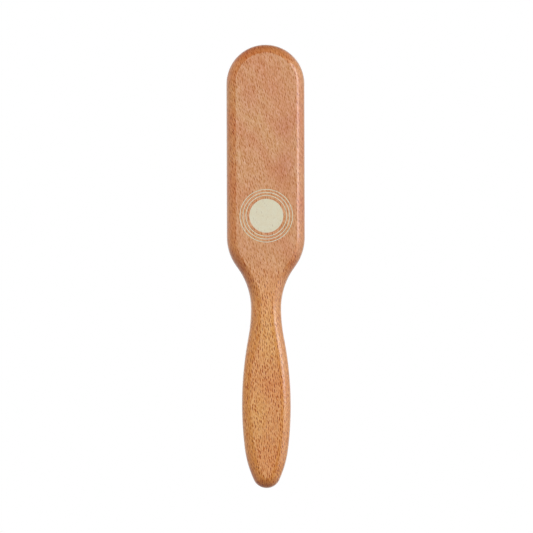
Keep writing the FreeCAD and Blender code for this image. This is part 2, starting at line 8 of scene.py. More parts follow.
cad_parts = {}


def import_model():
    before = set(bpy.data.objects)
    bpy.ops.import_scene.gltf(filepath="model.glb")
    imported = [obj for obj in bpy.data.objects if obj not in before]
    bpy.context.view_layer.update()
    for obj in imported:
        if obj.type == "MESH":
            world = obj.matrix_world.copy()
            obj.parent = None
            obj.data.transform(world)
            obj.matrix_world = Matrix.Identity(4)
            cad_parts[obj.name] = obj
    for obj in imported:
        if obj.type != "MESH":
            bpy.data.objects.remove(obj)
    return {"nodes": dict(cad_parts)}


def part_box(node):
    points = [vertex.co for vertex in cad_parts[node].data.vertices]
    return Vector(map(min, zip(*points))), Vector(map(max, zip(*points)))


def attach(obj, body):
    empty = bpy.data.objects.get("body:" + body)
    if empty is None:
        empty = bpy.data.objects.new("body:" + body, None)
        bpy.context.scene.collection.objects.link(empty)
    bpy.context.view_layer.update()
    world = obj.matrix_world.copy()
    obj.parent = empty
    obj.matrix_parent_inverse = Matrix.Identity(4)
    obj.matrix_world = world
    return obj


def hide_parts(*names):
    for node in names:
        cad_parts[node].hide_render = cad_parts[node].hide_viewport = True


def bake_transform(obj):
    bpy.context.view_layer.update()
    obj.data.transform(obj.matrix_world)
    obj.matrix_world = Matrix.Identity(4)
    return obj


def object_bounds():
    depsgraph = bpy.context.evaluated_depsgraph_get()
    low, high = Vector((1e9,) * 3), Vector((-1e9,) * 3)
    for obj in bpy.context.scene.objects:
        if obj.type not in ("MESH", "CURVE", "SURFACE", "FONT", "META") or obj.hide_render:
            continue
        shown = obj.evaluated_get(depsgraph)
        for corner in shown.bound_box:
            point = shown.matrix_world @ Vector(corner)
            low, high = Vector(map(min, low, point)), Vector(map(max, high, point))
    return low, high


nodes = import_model()["nodes"]
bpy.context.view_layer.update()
MM = 0.001


# ------------------------------------------------------------------ node trees
class Value:
    """An output socket that can be used in sums; each operation adds a node to its tree."""

    def __init__(self, tree, socket):
        self.tree = tree
        self.socket = socket

    def maths(self, operation, *others, clamp=False):
        return self.tree.maths(operation, self, *others, clamp=clamp)

    def __add__(self, other):
        return self.maths("ADD", other)

    def __radd__(self, other):
        return self.tree.maths("ADD", other, self)

    def __sub__(self, other):
        return self.maths("SUBTRACT", other)

    def __rsub__(self, other):
        return self.tree.maths("SUBTRACT", other, self)

    def __mul__(self, other):
        return self.maths("MULTIPLY", other)

    def __truediv__(self, other):
        return self.maths("DIVIDE", other)

    def __abs__(self):
        return self.maths("ABSOLUTE")

    def maximum(self, other):
        return self.maths("MAXIMUM", other)

    def linear(self, low, high, to=(0.0, 1.0), **settings):
        """Goes from to[0] to to[1] as the value goes from low to high."""
        inputs = {"Value": self, "From Min": low, "From Max": high, "To Min": to[0], "To Max": to[1]}
        return self.tree.value("ShaderNodeMapRange", inputs, **settings)

    def step(self, low, high, to=(0.0, 1.0)):
        """Like linear, with soft ends."""
        return self.linear(low, high, to, interpolation_type="SMOOTHSTEP")

    def split(self):
        return self.tree.values("ShaderNodeSeparateXYZ", (0, 1, 2), {0: self})


class Tree:
    """Builds the node tree of a material or world."""

    def __init__(self, owner, output="ShaderNodeOutputMaterial"):
        self.owner = owner
        owner.use_nodes = True
        self.tree = owner.node_tree
        self.tree.nodes.clear()
        self.output = self.tree.nodes.new(output)

    def node(self, kind, inputs=None, **settings):
        made = self.tree.nodes.new(kind)
        for key, setting in settings.items():
            setattr(made, key, setting)
        for key, value in (inputs or {}).items():
            self.put(made, key, value)
        return made

    def put(self, node, key, value):
        if isinstance(value, Value):
            self.tree.links.new(value.socket, node.inputs[key])
        else:
            node.inputs[key].default_value = value

    def values(self, kind, outputs, inputs=None, **settings):
        """Several outputs of a new node."""
        node = self.node(kind, inputs, **settings)
        return [Value(self, node.outputs[key]) for key in outputs]

    def value(self, kind, inputs=None, output=0, **settings):
        """One output of a new node."""
        return self.values(kind, (output,), inputs, **settings)[0]

    def maths(self, operation, *terms, clamp=False):
        inputs = dict(enumerate(terms))
        return self.value("ShaderNodeMath", inputs, operation=operation, use_clamp=clamp)

    def mix(self, factor, first, second, blend="MIX"):
        return self.value("ShaderNodeMix", {0: factor, 6: first, 7: second}, output=2,
                          data_type="RGBA", blend_type=blend)

    def millimetres(self):
        """Place in the row frame, in millimetres."""
        place = self.value("ShaderNodeTexCoord", output="Object")
        return self.value("ShaderNodeVectorMath", {0: place, "Scale": 1000.0}, operation="SCALE")

    def join(self, x, y, z):
        return self.value("ShaderNodeCombineXYZ", {0: x, 1: y, 2: z})

    def stretch(self, vector, scale, shift=(0, 0, 0)):
        """Scales a place by one number or by three, then shifts it."""
        if isinstance(scale, float):
            scale = (scale,) * 3
        return self.value("ShaderNodeMapping",
                          {"Vector": vector, "Location": shift, "Scale": scale})

    def noise(self, vector, scale=None, shift=(0, 0, 0), detail=2.0, roughness=0.5,
              distortion=0.0):
        """Noise of about 0..1; scale is in features per millimetre."""
        if scale is not None:
            vector = self.stretch(vector, scale, shift)
        return self.value("ShaderNodeTexNoise", {
            "Vector": vector, "Scale": 1.0, "Detail": detail, "Roughness": roughness,
            "Lacunarity": 2.0, "Distortion": distortion}, noise_dimensions="3D")

    def cells(self, vector, dimensions="3D"):
        """Distance, random colour and centre of the nearest cell."""
        return self.values("ShaderNodeTexVoronoi", ("Distance", "Color", "Position"),
                           {"Vector": vector, "Scale": 1.0, "Randomness": 0.56},
                           voronoi_dimensions=dimensions, feature="F1")

    def bump(self, height, depth, normal=None):
        """Bumped normal; depth in millimetres."""
        inputs = {"Height": height, "Distance": depth * MM, "Strength": 1.0}
        if normal is not None:
            inputs["Normal"] = normal
        return self.value("ShaderNodeBump", inputs)

    def surface(self, shader):
        self.put(self.output, "Surface", shader)
        return self.owner

    def principled(self, **inputs):
        inputs = {key.replace("_", " "): value for key, value in inputs.items()}
        return self.surface(self.value("ShaderNodeBsdfPrincipled", inputs))


def material_tree(name):
    return Tree(bpy.data.materials.new(name))


def between(factor, first, second):
    """first where factor is 0, second where it is 1."""
    return first + factor * (second - first)


def colour(red, green, blue):
    """Linear colour from 0-255 display values."""
    def linear(level):
        level /= 255.0
        return level / 12.92 if level <= 0.04045 else ((level + 0.055) / 1.055) ** 2.4
    return (linear(red), linear(green), linear(blue), 1.0)


def set_material(obj, material):
    if not obj.material_slots:
        obj.data.materials.append(material)
    for slot in obj.material_slots:
        slot.material = material


def ray_flecks(tree, across, along, *, spacing, half_size, keep, shift=0.0, pale_sides=False):
    """Short dashes where a hardwood's rays meet the surface: lens shapes along the grain, spread
    over a leaning grid.  spacing and half_size are (across, along) in millimetres and keep is
    about the share of grid cells that hold a dash.  With pale_sides, the strength of the paler
    wood beside the dash is returned as well."""
    width, length = spacing
    half_width, half_length = half_size
    column = across * (1.0 / width) + shift
    place = tree.join(column, along * (1.0 / length) + (column * 0.38 + shift * 1.7), 0.0)
    _, random, centre = tree.cells(place, "2D")
    chance, size, depth = random.split()
    place_across, place_along, _ = place.split()
    centre_across, centre_along, _ = centre.split()
    reach = size.linear(0.0, 1.0, to=(0.75, 1.25))
    off_across = abs(place_across - centre_across) * (width / half_width)
    off_along = (place_along - centre_along) * (length / half_length)
    off = (off_across + off_along * off_along) / reach
    strength = chance.step(1.0 - keep, 1.0 - keep + 0.04) * depth.linear(0.0, 1.0, to=(0.45, 1.0))
    dash = off.step(1.35, 0.65)
    if not pale_sides:
        return dash * strength
    beside = off.step(3.0, 1.6) - dash
    return dash * strength, beside * strength


# ------------------------------------------------------------------ lacquered beech
# lacquer reflection and light falling on the flat face, and the gain of each channel
VEIL, LIGHT = 0.075, 0.93
GAIN = (1.11, 1.08, 1.02)


def seen(red, green, blue):
    """Base colour that shows as the given display colour on the flat face in the studio light."""
    channels = zip(colour(red, green, blue)[:3], GAIN)
    return tuple(max(0.0, (level - VEIL) / LIGHT * gain) for level, gain in channels) + (1.0,)


HEAD_TAN = seen(216, 166, 121)
HEAD_PINK = seen(214, 151, 113)
HEAD_LILAC = seen(208, 142, 109)
HANDLE_GOLD = seen(221, 159, 99)
HANDLE_MID = seen(218, 151, 97)
HANDLE_RED = seen(215, 142, 91)
# factors on the base colour, all three painted shade: the rounded edges, the faces across the grain
# (darker end grain as well) and the faces turned down
EDGE_SHADE_TINT = (0.99, 0.83, 0.62, 1)
END_GRAIN_AND_SHADE_TINT = (0.85, 0.74, 0.76, 1)
UNDER_SHADE_TINT = (0.76, 0.60, 0.42, 1)

# strength of the grain in display levels: (handle, head)
FINE = (40.0, 36.0)
FINER = (36.0, 32.0)
STREAK = (14.0, 8.0)
FINE_RING = (9.0, 17.0)
SMALL = (70.0, 34.0)
LARGE = (150.0, 66.0)
PALE = (18.0, 9.0)
LEVEL = (11.0, 2.5)

# soft spots: (centre x, centre z, radius in x, radius in z, strength)
LILAC_SPOTS = ((9.7, 183.0, 5.5, 7.5, 1.0), (9.5, 163.5, 6.0, 9.0, 1.0),
               (-9.0, 197.0, 5.5, 9.0, 0.5))
GOLD_SPOTS = ((1.0, 76.0, 5.5, 17.0, 1.0), (-4.5, 38.0, 5.5, 17.0, 1.0))
RED_SPOTS = ((4.0, 51.0, 9.0, 8.0, 1.0), (2.0, 14.0, 9.0, 9.0, 0.6))
LIGHTER_SPOTS = ((-1.5, 92.0, 6.5, 30.0, 6.0),)      # strength in display levels

# growth rings: (millimetres across the rings, share of tan)
RING_START, RING_END = 50, 150
RINGS = (
    (50, 0.45), (58, 0.70), (64, 0.25), (69, 0.85), (74, 0.35), (80, 0.10), (86, 0.80),
    (92, 0.55), (97, 0.30), (100, 0.05), (106, 0.95), (110, 0.60), (114, 0.25), (118, 0.55),
    (122, 0.25), (126, 0.0), (132, 0.55), (136, 0.30), (141, 1.0), (146, 0.6), (150, 0.4))

BACK_Y, MIDDLE_Y = -13.9, -7.5       # where the fleck pattern starts and where its halves meet
DARKENING = (0.0063, 0.0150, 0.0340)     # loss of red, green and blue per display level


def spots(x, z, table):
    """Strength of the strongest soft spot of a table."""
    strongest = None
    for centre_x, centre_z, radius_x, radius_z, strength in table:
        off_x = (x - centre_x) * (1.0 / radius_x)
        off_z = (z - centre_z) * (1.0 / radius_z)
        spot = (off_x * off_x + off_z * off_z).maths("SQRT").step(1.35, 0.15)
        if strength != 1.0:
            spot = spot * strength
        strongest = spot if strongest is None else strongest.maximum(spot)
    return strongest


def darken(tree, base, tone):
    """Darker by tone display levels, lighter where tone is negative."""
    parts = tree.values("ShaderNodeSeparateColor", (0, 1, 2), {0: base})
    channels = [part * tree.maths("POWER", math.exp(-rate), tone)
                for part, rate in zip(parts, DARKENING)]
    return tree.value("ShaderNodeCombineColor", dict(enumerate(channels)))


def fleck_across(x, y, slanted, normal_y):
    """Place across the grain for the flecks.  They follow the surface round the sides instead of
    being drawn out along Y; the two halves of the thickness have their own set, and so has the
    flat pin side."""
    hand = x.linear(-3.0, 3.0, to=(-0.55, 0.55))
    back = slanted + hand * y.linear(BACK_Y, MIDDLE_Y, to=(0.0, 6.4))
    side = (y + 80.0) + x * 0.6
    pin_side = between(abs(normal_y).maths("GREATER_THAN", 0.65), side, 53.0 - slanted)
    return between(y.maths("GREATER_THAN", MIDDLE_Y), back, pin_side)


def growth_rings(tree, place, x, y, z):
    """Rings crossing the face on the slant: the share of tan and the fine lines between."""
    swirl = tree.noise(place, (1 / 15, 1 / 15, 1 / 22), shift=(3, 9, 2))
    ring = (x * 0.77 + z * 0.64) + (y * 0.5 + (swirl - 0.5) * 9.0)
    bands = tree.node("ShaderNodeValToRGB", {0: ring.linear(RING_START, RING_END)})
    bands.color_ramp.interpolation = "B_SPLINE"
    elements = bands.color_ramp.elements
    while len(elements) < len(RINGS):
        elements.new(0.5)
    for element, (distance, share) in zip(elements, RINGS):
        element.position = (distance - RING_START) / (RING_END - RING_START)
        element.color = (share, share, share, 1)
    lines = tree.noise(tree.join(ring * 0.55, x * 0.05, z * 0.03), detail=3.0, roughness=0.6)
    return Value(tree, bands.outputs[0]), lines


def beech_colour(tree, x, z, head, tan, cloud):
    """Broad colour of the head and handle, before the grain."""
    lilac = spots(x, z, LILAC_SPOTS)
    tan_share = (cloud - 0.5).maths("MULTIPLY_ADD", 1.0, tan, clamp=True)
    head_tone = tree.mix(tan_share, HEAD_PINK, HEAD_TAN)
    head_tone = tree.mix(lilac * 0.75, head_tone, HEAD_LILAC)
    gold = spots(x, z, GOLD_SPOTS)
    red = spots(x, z, RED_SPOTS)
    gold_share = (cloud - 0.5).maths("MULTIPLY_ADD", 0.8, gold, clamp=True)
    handle_tone = tree.mix(gold_share, HANDLE_MID, HANDLE_GOLD)
    handle_tone = tree.mix(red * 0.8, handle_tone, HANDLE_RED)
    return tree.mix(head, handle_tone, head_tone)


def beech(name):
    """Clear-lacquered flat-sawn beech.  The grain runs along Z and leans a little, more so on
    the head."""
    tree = material_tree(name)
    place = tree.millimetres()
    x, y, z = place.split()
    lean = z * 0.15 + (z - 108.0).maximum(0.0) * 0.07
    wander = tree.noise(place, (1 / 24, 1 / 24, 1 / 60), detail=1.5)
    ripple = tree.noise(place, (1 / 5, 1 / 5, 1 / 9), shift=(7, 3, 1), detail=1.0)
    slanted = (x + lean) + ((wander - 0.5) * 6.0 + (ripple - 0.5) * 1.3)
    grain = tree.join(slanted, y, z)
    normal_x, normal_y, normal_z = tree.value("ShaderNodeNewGeometry", output="Normal").split()
    across = fleck_across(x, y, slanted, normal_y)
    head = z.step(93.0, 124.0)

    tan, fine_ring = growth_rings(tree, place, x, y, z)
    cloud = tree.noise(place, (1 / 7, 1 / 7, 1 / 10), shift=(1, 5, 3), detail=2.5)
    base = beech_colour(tree, x, z, head, tan, cloud)

    # where the surface turns away from the flat faces; a fine bevel eases the corner itself
    edge = tree.value("ShaderNodeBevel", {"Radius": 0.5 * MM}, samples=8)
    crisp = abs(edge.split()[1]).step(0.9985, 0.955) * head
    broad = abs(normal_y).step(0.95, 0.60) * 0.10
    turned = crisp.maximum(broad)

    fine = tree.noise(grain, (1.8, 0.7, 0.32), detail=0.0)
    finer = tree.noise(grain, (2.2, 1.2, 0.80), shift=(4, 4, 4), detail=0.0)
    streak = tree.noise(grain, (1.2, 0.4, 0.07), shift=(9, 1, 2), detail=2.5, roughness=0.55)
    small, small_side = ray_flecks(tree, across, z, spacing=(0.85, 2.1), half_size=(0.14, 0.75),
                                   keep=0.94, shift=11.3, pale_sides=True)
    large, large_side = ray_flecks(tree, across, z, spacing=(1.15, 3.0), half_size=(0.19, 1.10),
                                   keep=0.94, shift=2.6, pale_sides=True)

    def by_part(strengths):
        return head.linear(0.0, 1.0, to=strengths)

    # the grain in display levels of darkness
    tone = (fine - 0.5) * by_part(FINE)
    tone = tone + (finer - 0.5) * by_part(FINER)
    tone = tone + (streak - 0.5) * by_part(STREAK)
    tone = tone + (fine_ring - 0.5) * by_part(FINE_RING)
    tone = tone + small * by_part(SMALL)
    # large flecks are weaker on faces turned to X and stronger on the crisp edge
    emphasis = abs(normal_x).step(0.80, 1.0, to=(1.0, 0.45)) * (crisp * 0.5 + 1.0)
    tone = tone + (large * emphasis) * by_part(LARGE)
    tone = tone - large_side.maximum(small_side) * by_part(PALE)
    tone = tone - by_part(LEVEL)
    tone = tone - spots(x, z, LIGHTER_SPOTS)
    tone = tone - (tan - 0.45) * (head * 5.0)
    base = darken(tree, base, tone)

    # painted shade on the rounded edges: deeper and warmer, a little uneven
    edge_shade = turned * cloud.linear(0.3, 0.7, to=(0.88, 1.0))
    base = tree.mix(edge_shade, base, EDGE_SHADE_TINT, "MULTIPLY")
    # darker end grain with painted shade on the faces across the grain
    base = tree.mix(abs(normal_z).step(0.25, 0.80), base, END_GRAIN_AND_SHADE_TINT, "MULTIPLY")
    # painted shade on the faces turned down, stronger on the left
    under_shade = normal_z.step(-0.06, -0.42) * normal_x.linear(-0.5, 0.5, to=(1.0, 0.15))
    base = tree.mix(under_shade, base, UNDER_SHADE_TINT, "MULTIPLY")

    height = fine * 0.3 + (streak * 0.25 + large.maximum(small) * -1.0)
    peel = tree.noise(place, (0.55, 0.55, 0.40), shift=(2, 5, 8))
    soft = tree.bump(peel, depth=0.012, normal=edge)
    # the dashes are open pores: less lacquer in them on the flats, filled at the edges
    flooded = abs(normal_y).step(0.965, 0.90, to=(0.0, 0.95))
    return tree.principled(
        Base_Color=base, Roughness=0.42 + (fine * 0.10 + large * 0.12),
        Normal=tree.bump(height, depth=0.008, normal=soft), Specular_IOR_Level=0.12,
        Coat_Weight=tone.linear(0.0, 60.0, to=(1.0, 0.12)).maximum(flooded),
        Coat_Roughness=peel.linear(0.3, 0.7, to=(0.15, 0.20)), Coat_IOR=1.5,
        Coat_Normal=tree.bump(height, depth=0.0006, normal=soft))


# ------------------------------------------------------------------ the other materials
INK = colour(245, 240, 214)
INK_WARM = colour(243, 235, 206)
INK_THIN = colour(230, 219, 186)
INK_PORE = colour(186, 160, 122)
RUBBER = colour(168, 84, 62)
RUBBER_DEEP = colour(154, 72, 52)
RUBBER_BLOOM = colour(190, 120, 98)
RUBBER_DARK = colour(104, 44, 32)
FELT_DARK = colour(128, 118, 100)
FELT_PALE = colour(176, 166, 146)
FELT_WARM = colour(150, 132, 108)
PIN_PALE = colour(232, 202, 156)
PIN_DEEP = colour(218, 180, 130)
PIN_WARM = colour(212, 168, 118)
PIN_FIBRE = colour(190, 142, 94)
PIN_END = colour(196, 150, 102)


def ink(name):
    """Matt cream pad print, thin enough that the pores of the wood show through as specks."""
    tree = material_tree(name)
    place = tree.millimetres()
    cloud = tree.noise(place, 0.5, detail=3.0)
    speck = tree.noise(place, 5.0, shift=(3, 3, 3), detail=3.0, roughness=0.7)
    pores = ray_flecks(tree, place.split()[0], place.split()[2], spacing=(0.8, 2.4),
                       half_size=(0.2, 0.6), keep=0.25, shift=2.6)
    base = tree.mix(cloud.step(0.35, 0.7), INK, INK_WARM)
    weave = tree.noise(place, (2.6, 2.6, 1.3), shift=(6, 2, 3))
    base = tree.mix(weave.step(0.42, 0.62, to=(0.0, 0.40)), base, INK_THIN)
    base = tree.mix(speck.step(0.55, 0.72, to=(0.0, 0.45)), base, INK_THIN)
    base = tree.mix(pores * 0.42, base, INK_PORE)
    height = speck * 0.6 + pores * -0.8
    return tree.principled(
        Base_Color=base, Roughness=speck.linear(0.3, 0.7, to=(0.48, 0.60)),
        Specular_IOR_Level=0.35, Coat_Weight=0.12, Coat_Roughness=0.35,
        Normal=tree.bump(height, depth=0.015))


def rubber(name):
    """Matt natural rubber with mottle, a trace of bloom, small pits and painted shade in its
    hollows.
    """
    tree = material_tree(name)
    place = tree.millimetres()
    mottle = tree.noise(place, 0.16, detail=3.0, roughness=0.6)
    grain = tree.noise(place, 5.5, shift=(1, 1, 1), detail=3.0, roughness=0.65)
    bloom = tree.noise(place, 0.9, shift=(5, 2, 7), detail=4.0, roughness=0.65)
    base = tree.mix(mottle.step(0.3, 0.7), RUBBER_DEEP, RUBBER)
    base = tree.mix(bloom.step(0.52, 0.78, to=(0.0, 0.16)), base, RUBBER_BLOOM)
    base = tree.mix(grain.step(0.62, 0.80, to=(0.0, 0.18)), base, RUBBER_DARK)
    pits = tree.cells(tree.stretch(place, 2.6))[0]
    base = tree.mix(pits.step(0.16, 0.05, to=(0.0, 0.28)), base, RUBBER_DARK)
    # painted shade: darker towards RUBBER_DARK where ambient occlusion finds the hollows
    occlusion_shade = tree.value("ShaderNodeAmbientOcclusion", {"Distance": 1.1 * MM}, output="AO",
                          samples=6)
    base = tree.mix(occlusion_shade.linear(0.25, 0.95, to=(0.45, 0.0)), base, RUBBER_DARK)
    height = grain * 0.5 + (bloom * 0.35 + pits.step(0.0, 0.16, to=(0.0, 0.5)))
    return tree.principled(
        Base_Color=base, Roughness=bloom.linear(0.3, 0.7, to=(0.52, 0.72)),
        Specular_IOR_Level=0.42, Normal=tree.bump(height, depth=0.045),
        Sheen_Weight=0.10, Sheen_Roughness=0.5)


def felt(name):
    """Grey-brown wool felt with tangled fibres."""
    tree = material_tree(name)
    place = tree.millimetres()
    fibres = tree.noise(place, 3.0, detail=5.0, roughness=0.7, distortion=1.6)
    cloud = tree.noise(place, 0.4, detail=3.0)
    base = tree.mix(fibres.step(0.35, 0.7), FELT_DARK, FELT_PALE)
    base = tree.mix(cloud.step(0.4, 0.7, to=(0.0, 0.35)), base, FELT_WARM)
    return tree.principled(
        Base_Color=base, Roughness=0.95, Specular_IOR_Level=0.2, Sheen_Weight=0.4,
        Sheen_Roughness=0.4, Normal=tree.bump(fibres, depth=0.35))


def turned_wood(name):
    """Waxed pale hardwood pins: grain along the pin, faint turning rings, darker end grain on
    the ball.  Every pin shows another part of the pattern."""
    tree = material_tree(name)
    place = tree.millimetres()
    island = tree.value("ShaderNodeNewGeometry", output="Random Per Island")
    x, y, z = place.split()
    own = island * 37.0
    grain = tree.join(x + own, y, z + own)
    fibre = tree.noise(grain, (3.6, 0.22, 3.6), detail=4.0, roughness=0.6)
    band = tree.noise(grain, (1.1, 0.10, 1.1), shift=(2, 2, 2))
    rings = tree.noise(tree.join(0.0, y * 5.0, own), roughness=0.6)
    base = tree.mix(band.step(0.3, 0.7), PIN_DEEP, PIN_PALE)
    base = tree.mix((1.0 - island) * 0.34, base, PIN_WARM)
    base = tree.mix(fibre.step(0.48, 0.74, to=(0.0, 0.46)), base, PIN_FIBRE)
    dash = ray_flecks(tree, (x + own) + z * 0.6, y, spacing=(0.5, 1.6), half_size=(0.15, 0.5),
                      keep=0.35)
    base = tree.mix(dash * 0.40, base, PIN_FIBRE)
    normal_y = tree.value("ShaderNodeNewGeometry", output="Normal").split()[1]
    base = tree.mix(normal_y.step(0.45, 1.0, to=(0.0, 0.34)), base, PIN_END)
    height = fibre * 0.5 + (rings * 0.5 + dash * -0.5)
    return tree.principled(
        Base_Color=base, Roughness=fibre.linear(0.3, 0.7, to=(0.40, 0.54)),
        Specular_IOR_Level=0.42, Coat_Weight=0.15, Coat_Roughness=0.30,
        Normal=tree.bump(height, depth=0.02))


PIN_ROWS = ["pin_row_%d" % row for row in range(1, 6)]

set_material(nodes["wooden_body"], beech("lacquered_beech"))
set_material(nodes["printed_roundel"], ink("cream_ink"))
pin_wood = turned_wood("turned_wood")
for row_name in PIN_ROWS:
    set_material(nodes[row_name], pin_wood)


# ------------------------------------------------------------------ pins read from the frame
def separate_solids(obj):
    """Vertex arrays of the separate solids of a node, in the row frame."""
    mesh = obj.data
    places = np.empty(len(mesh.vertices) * 3)
    mesh.vertices.foreach_get("co", places)
    matrix = np.array(obj.matrix_world)
    places = places.reshape(-1, 3) @ matrix[:3, :3].T + matrix[:3, 3]
    # vertices within about 2 micrometres count as one
    _, merged = np.unique(np.round(places / 2e-6).astype(np.int64), axis=0, return_inverse=True)
    merged = merged.ravel()
    edges = np.empty(len(mesh.edges) * 2, np.int64)
    mesh.edges.foreach_get("vertices", edges)
    edges = merged[edges.reshape(-1, 2)]
    # the lowest label spreads along the edges until nothing changes
    label = np.arange(merged.max() + 1)
    while True:
        lowest = np.minimum(label[edges[:, 0]], label[edges[:, 1]])
        spread = label.copy()
        np.minimum.at(spread, edges[:, 0], lowest)
        np.minimum.at(spread, edges[:, 1], lowest)
        spread = spread[spread]
        if (spread == label).all():
            break
        label = spread
    group = label[merged]
    return [places[group == solid] for solid in np.unique(group)]


def pin_axes():
    """(point on the axis, unit direction) of every pin, in millimetres."""
    found = []
    for name in PIN_ROWS:
        for points in separate_solids(nodes[name]):
            points = points * 1000.0
            middle_point = (points.min(0) + points.max(0)) / 2
            centred = points - points.mean(0)
            _, vectors = np.linalg.eigh(centred.T @ centred)
            direction = vectors[:, -1]
            if direction[1] < 0:
                direction = -direction
            found.append((middle_point, direction))
    return found


# ------------------------------------------------------------------ stadium-shaped shells
cushion_low, cushion_high = [np.array(corner) * 1000 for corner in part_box("rubber_cushion")]
BEAD = cushion_high[0]                              # half width of the bead
LOW = cushion_low[2] + BEAD                         # ends of the straight part
HIGH = cushion_high[2] - BEAD
RISE = cushion_high[1]                              # crown above the rim
EDGE = 14.2                                         # half width of the dome at the rim
ROUND = (EDGE * EDGE + RISE * RISE) / (2 * RISE)    # dome radius
CENTRE = RISE - ROUND                               # y of the dome's centre


def dome(distance, radius=ROUND):
    """Height of a dome at a distance from the centre line."""
    return CENTRE + np.sqrt(np.maximum(radius * radius - distance * distance, 0.0))


def stations(step):
    """Points of the centre line and outward directions once round the stadium."""
    straight = max(2, int(round((HIGH - LOW) / step)))
    turn = max(8, int(round(math.pi * EDGE / step)))
    centres, outward = [], []
    for start, end, side, first_angle in ((LOW, HIGH, 1.0, 0.0), (HIGH, LOW, -1.0, math.pi)):
        for i in range(straight):
            centres.append((0.0, start + (end - start) * i / straight))
            outward.append((side, 0.0))
        for i in range(turn):
            angle = first_angle + math.pi * i / turn
            centres.append((0.0, end))
            outward.append((math.cos(angle), math.sin(angle)))
    return np.array(centres), np.array(outward)


def stadium_shell(name, profile, step, shape):
    """Closed shell: a profile of (distance from the centre line, y) points carried round the
    stadium.  The profile starts and ends on the centre line.  shape(points, ring numbers)
    returns the moved points."""
    centres, outward = stations(step)
    count, rings = len(centres), len(profile)
    profile = np.array(profile)
    distance = profile[:, 0][:, None]
    y = np.repeat(profile[:, 1][:, None], count, axis=1)
    x = centres[None, :, 0] + outward[None, :, 0] * distance
    z = centres[None, :, 1] + outward[None, :, 1] * distance
    points = shape(np.stack([x, y, z], axis=-1).reshape(-1, 3), np.repeat(np.arange(rings), count))
    faces = []
    for ring in range(rings - 1):
        here, above = ring * count, (ring + 1) * count
        for i in range(count):
            j = (i + 1) % count
            faces.append((here + i, above + i, above + j, here + j))
    mesh = bpy.data.meshes.new(name)
    mesh.from_pydata([tuple(point) for point in points * MM], [], faces)
    work = bmesh.new()
    work.from_mesh(mesh)
    bmesh.ops.remove_doubles(work, verts=work.verts, dist=1e-6)
    bmesh.ops.dissolve_degenerate(work, edges=work.edges, dist=1e-7)
    bmesh.ops.recalc_face_normals(work, faces=work.faces)
    for face in work.faces:
        face.smooth = True
    work.to_mesh(mesh)
    work.free()
    obj = bpy.data.objects.new(name, mesh)
    bpy.context.scene.collection.objects.link(obj)
    return obj


# ------------------------------------------------------------------ cushion
WALL = 1.8                           # thickness of the rubber
# the dome turns down into the skirt with a small rolled edge: (distance from centre line, y)
ROLL = [(EDGE - 0.25, dome(EDGE - 0.25)), (EDGE - 0.02, -0.02), (EDGE + 0.14, -0.13),
        (EDGE + 0.25, -0.30), (EDGE + 0.29, -0.55), (EDGE + 0.29, -1.2), (EDGE + 0.29, -1.86)]
# bead round the foot of the skirt, then up its inside: (distance from centre line, y)
BEAD_SECTION = [
    (15.2, -1.87), (15.55, -1.93), (15.68, -2.1), (15.69, -2.7), (15.68, -3.3),
    (15.55, -3.47), (15.2, -3.53), (14.0, -3.54), (13.1, -3.54), (12.8, -3.45),
    (12.76, -3.2), (12.76, -2.2), (12.76, -1.6)]
PIN_REACH = 6                        # a pin shapes the skin this far away in x and z
COLLAR_HEIGHT, COLLAR_RADIUS, COLLAR_FADE = 0.42, 1.42, 0.62
MOAT_DEPTH, MOAT_RADIUS, MOAT_WIDTH = 0.07, 3.0, 0.55
VENT_Z = LOW + (HIGH - LOW) / 2 - 44.0      # air hole near the handle
VENT_DEPTH, VENT_RADIUS, VENT_SOFTNESS = 1.5, 0.72, 0.09
VENT_LIP_HEIGHT, VENT_LIP_RADIUS, VENT_LIP_WIDTH = 0.14, 1.25, 0.35


def ridge(distance, radius, width):
    """Bell curve, 1 at the radius."""
    return np.exp(-((distance - radius) / width) ** 2)


def build_cushion():
    outer = [(r, dome(r)) for r in np.linspace(0.0, EDGE - 0.5, 54)]
    inner = [(r, dome(r, ROUND - WALL)) for r in np.linspace(12.6, 0.0, 22)]
    skin_rings = len(outer) + 1
    pins = pin_axes()

    def shape(points, ring):
        points = points.copy()
        skin = ring < skin_rings
        top = points[skin]
        lift = np.zeros(len(top))
        # a low rolled collar round each pin, with a faint moat outside it
        for place, direction in pins:
            near = ((np.abs(top[:, 0] - place[0]) < PIN_REACH)
                    & (np.abs(top[:, 2] - place[2]) < PIN_REACH))
            offset = top[near] - place
            along = offset @ direction
            away = np.linalg.norm(offset - along[:, None] * direction, axis=1)
            outside = np.maximum(away, COLLAR_RADIUS)
            lift[near] += (COLLAR_HEIGHT * ridge(outside, COLLAR_RADIUS, COLLAR_FADE)
                           - MOAT_DEPTH * ridge(away, MOAT_RADIUS, MOAT_WIDTH))
        # air hole with a raised lip
        away = np.hypot(top[:, 0], top[:, 2] - VENT_Z)
        fall = np.exp(np.minimum((away - VENT_RADIUS) / VENT_SOFTNESS, 60))
        lip = VENT_LIP_HEIGHT * ridge(away, VENT_LIP_RADIUS, VENT_LIP_WIDTH)
        lift += lip - VENT_DEPTH / (1 + fall)
        points[skin, 1] += lift
        return points

    profile = outer + ROLL + BEAD_SECTION + inner
    obj = stadium_shell("natural_rubber_cushion", profile, 0.36, shape)
    set_material(obj, rubber("natural_rubber"))
    return obj


# ------------------------------------------------------------------ felt
FELT_THICK = 2.2
FELT_ROUGHNESS = 0.02                # spread of the random unevenness


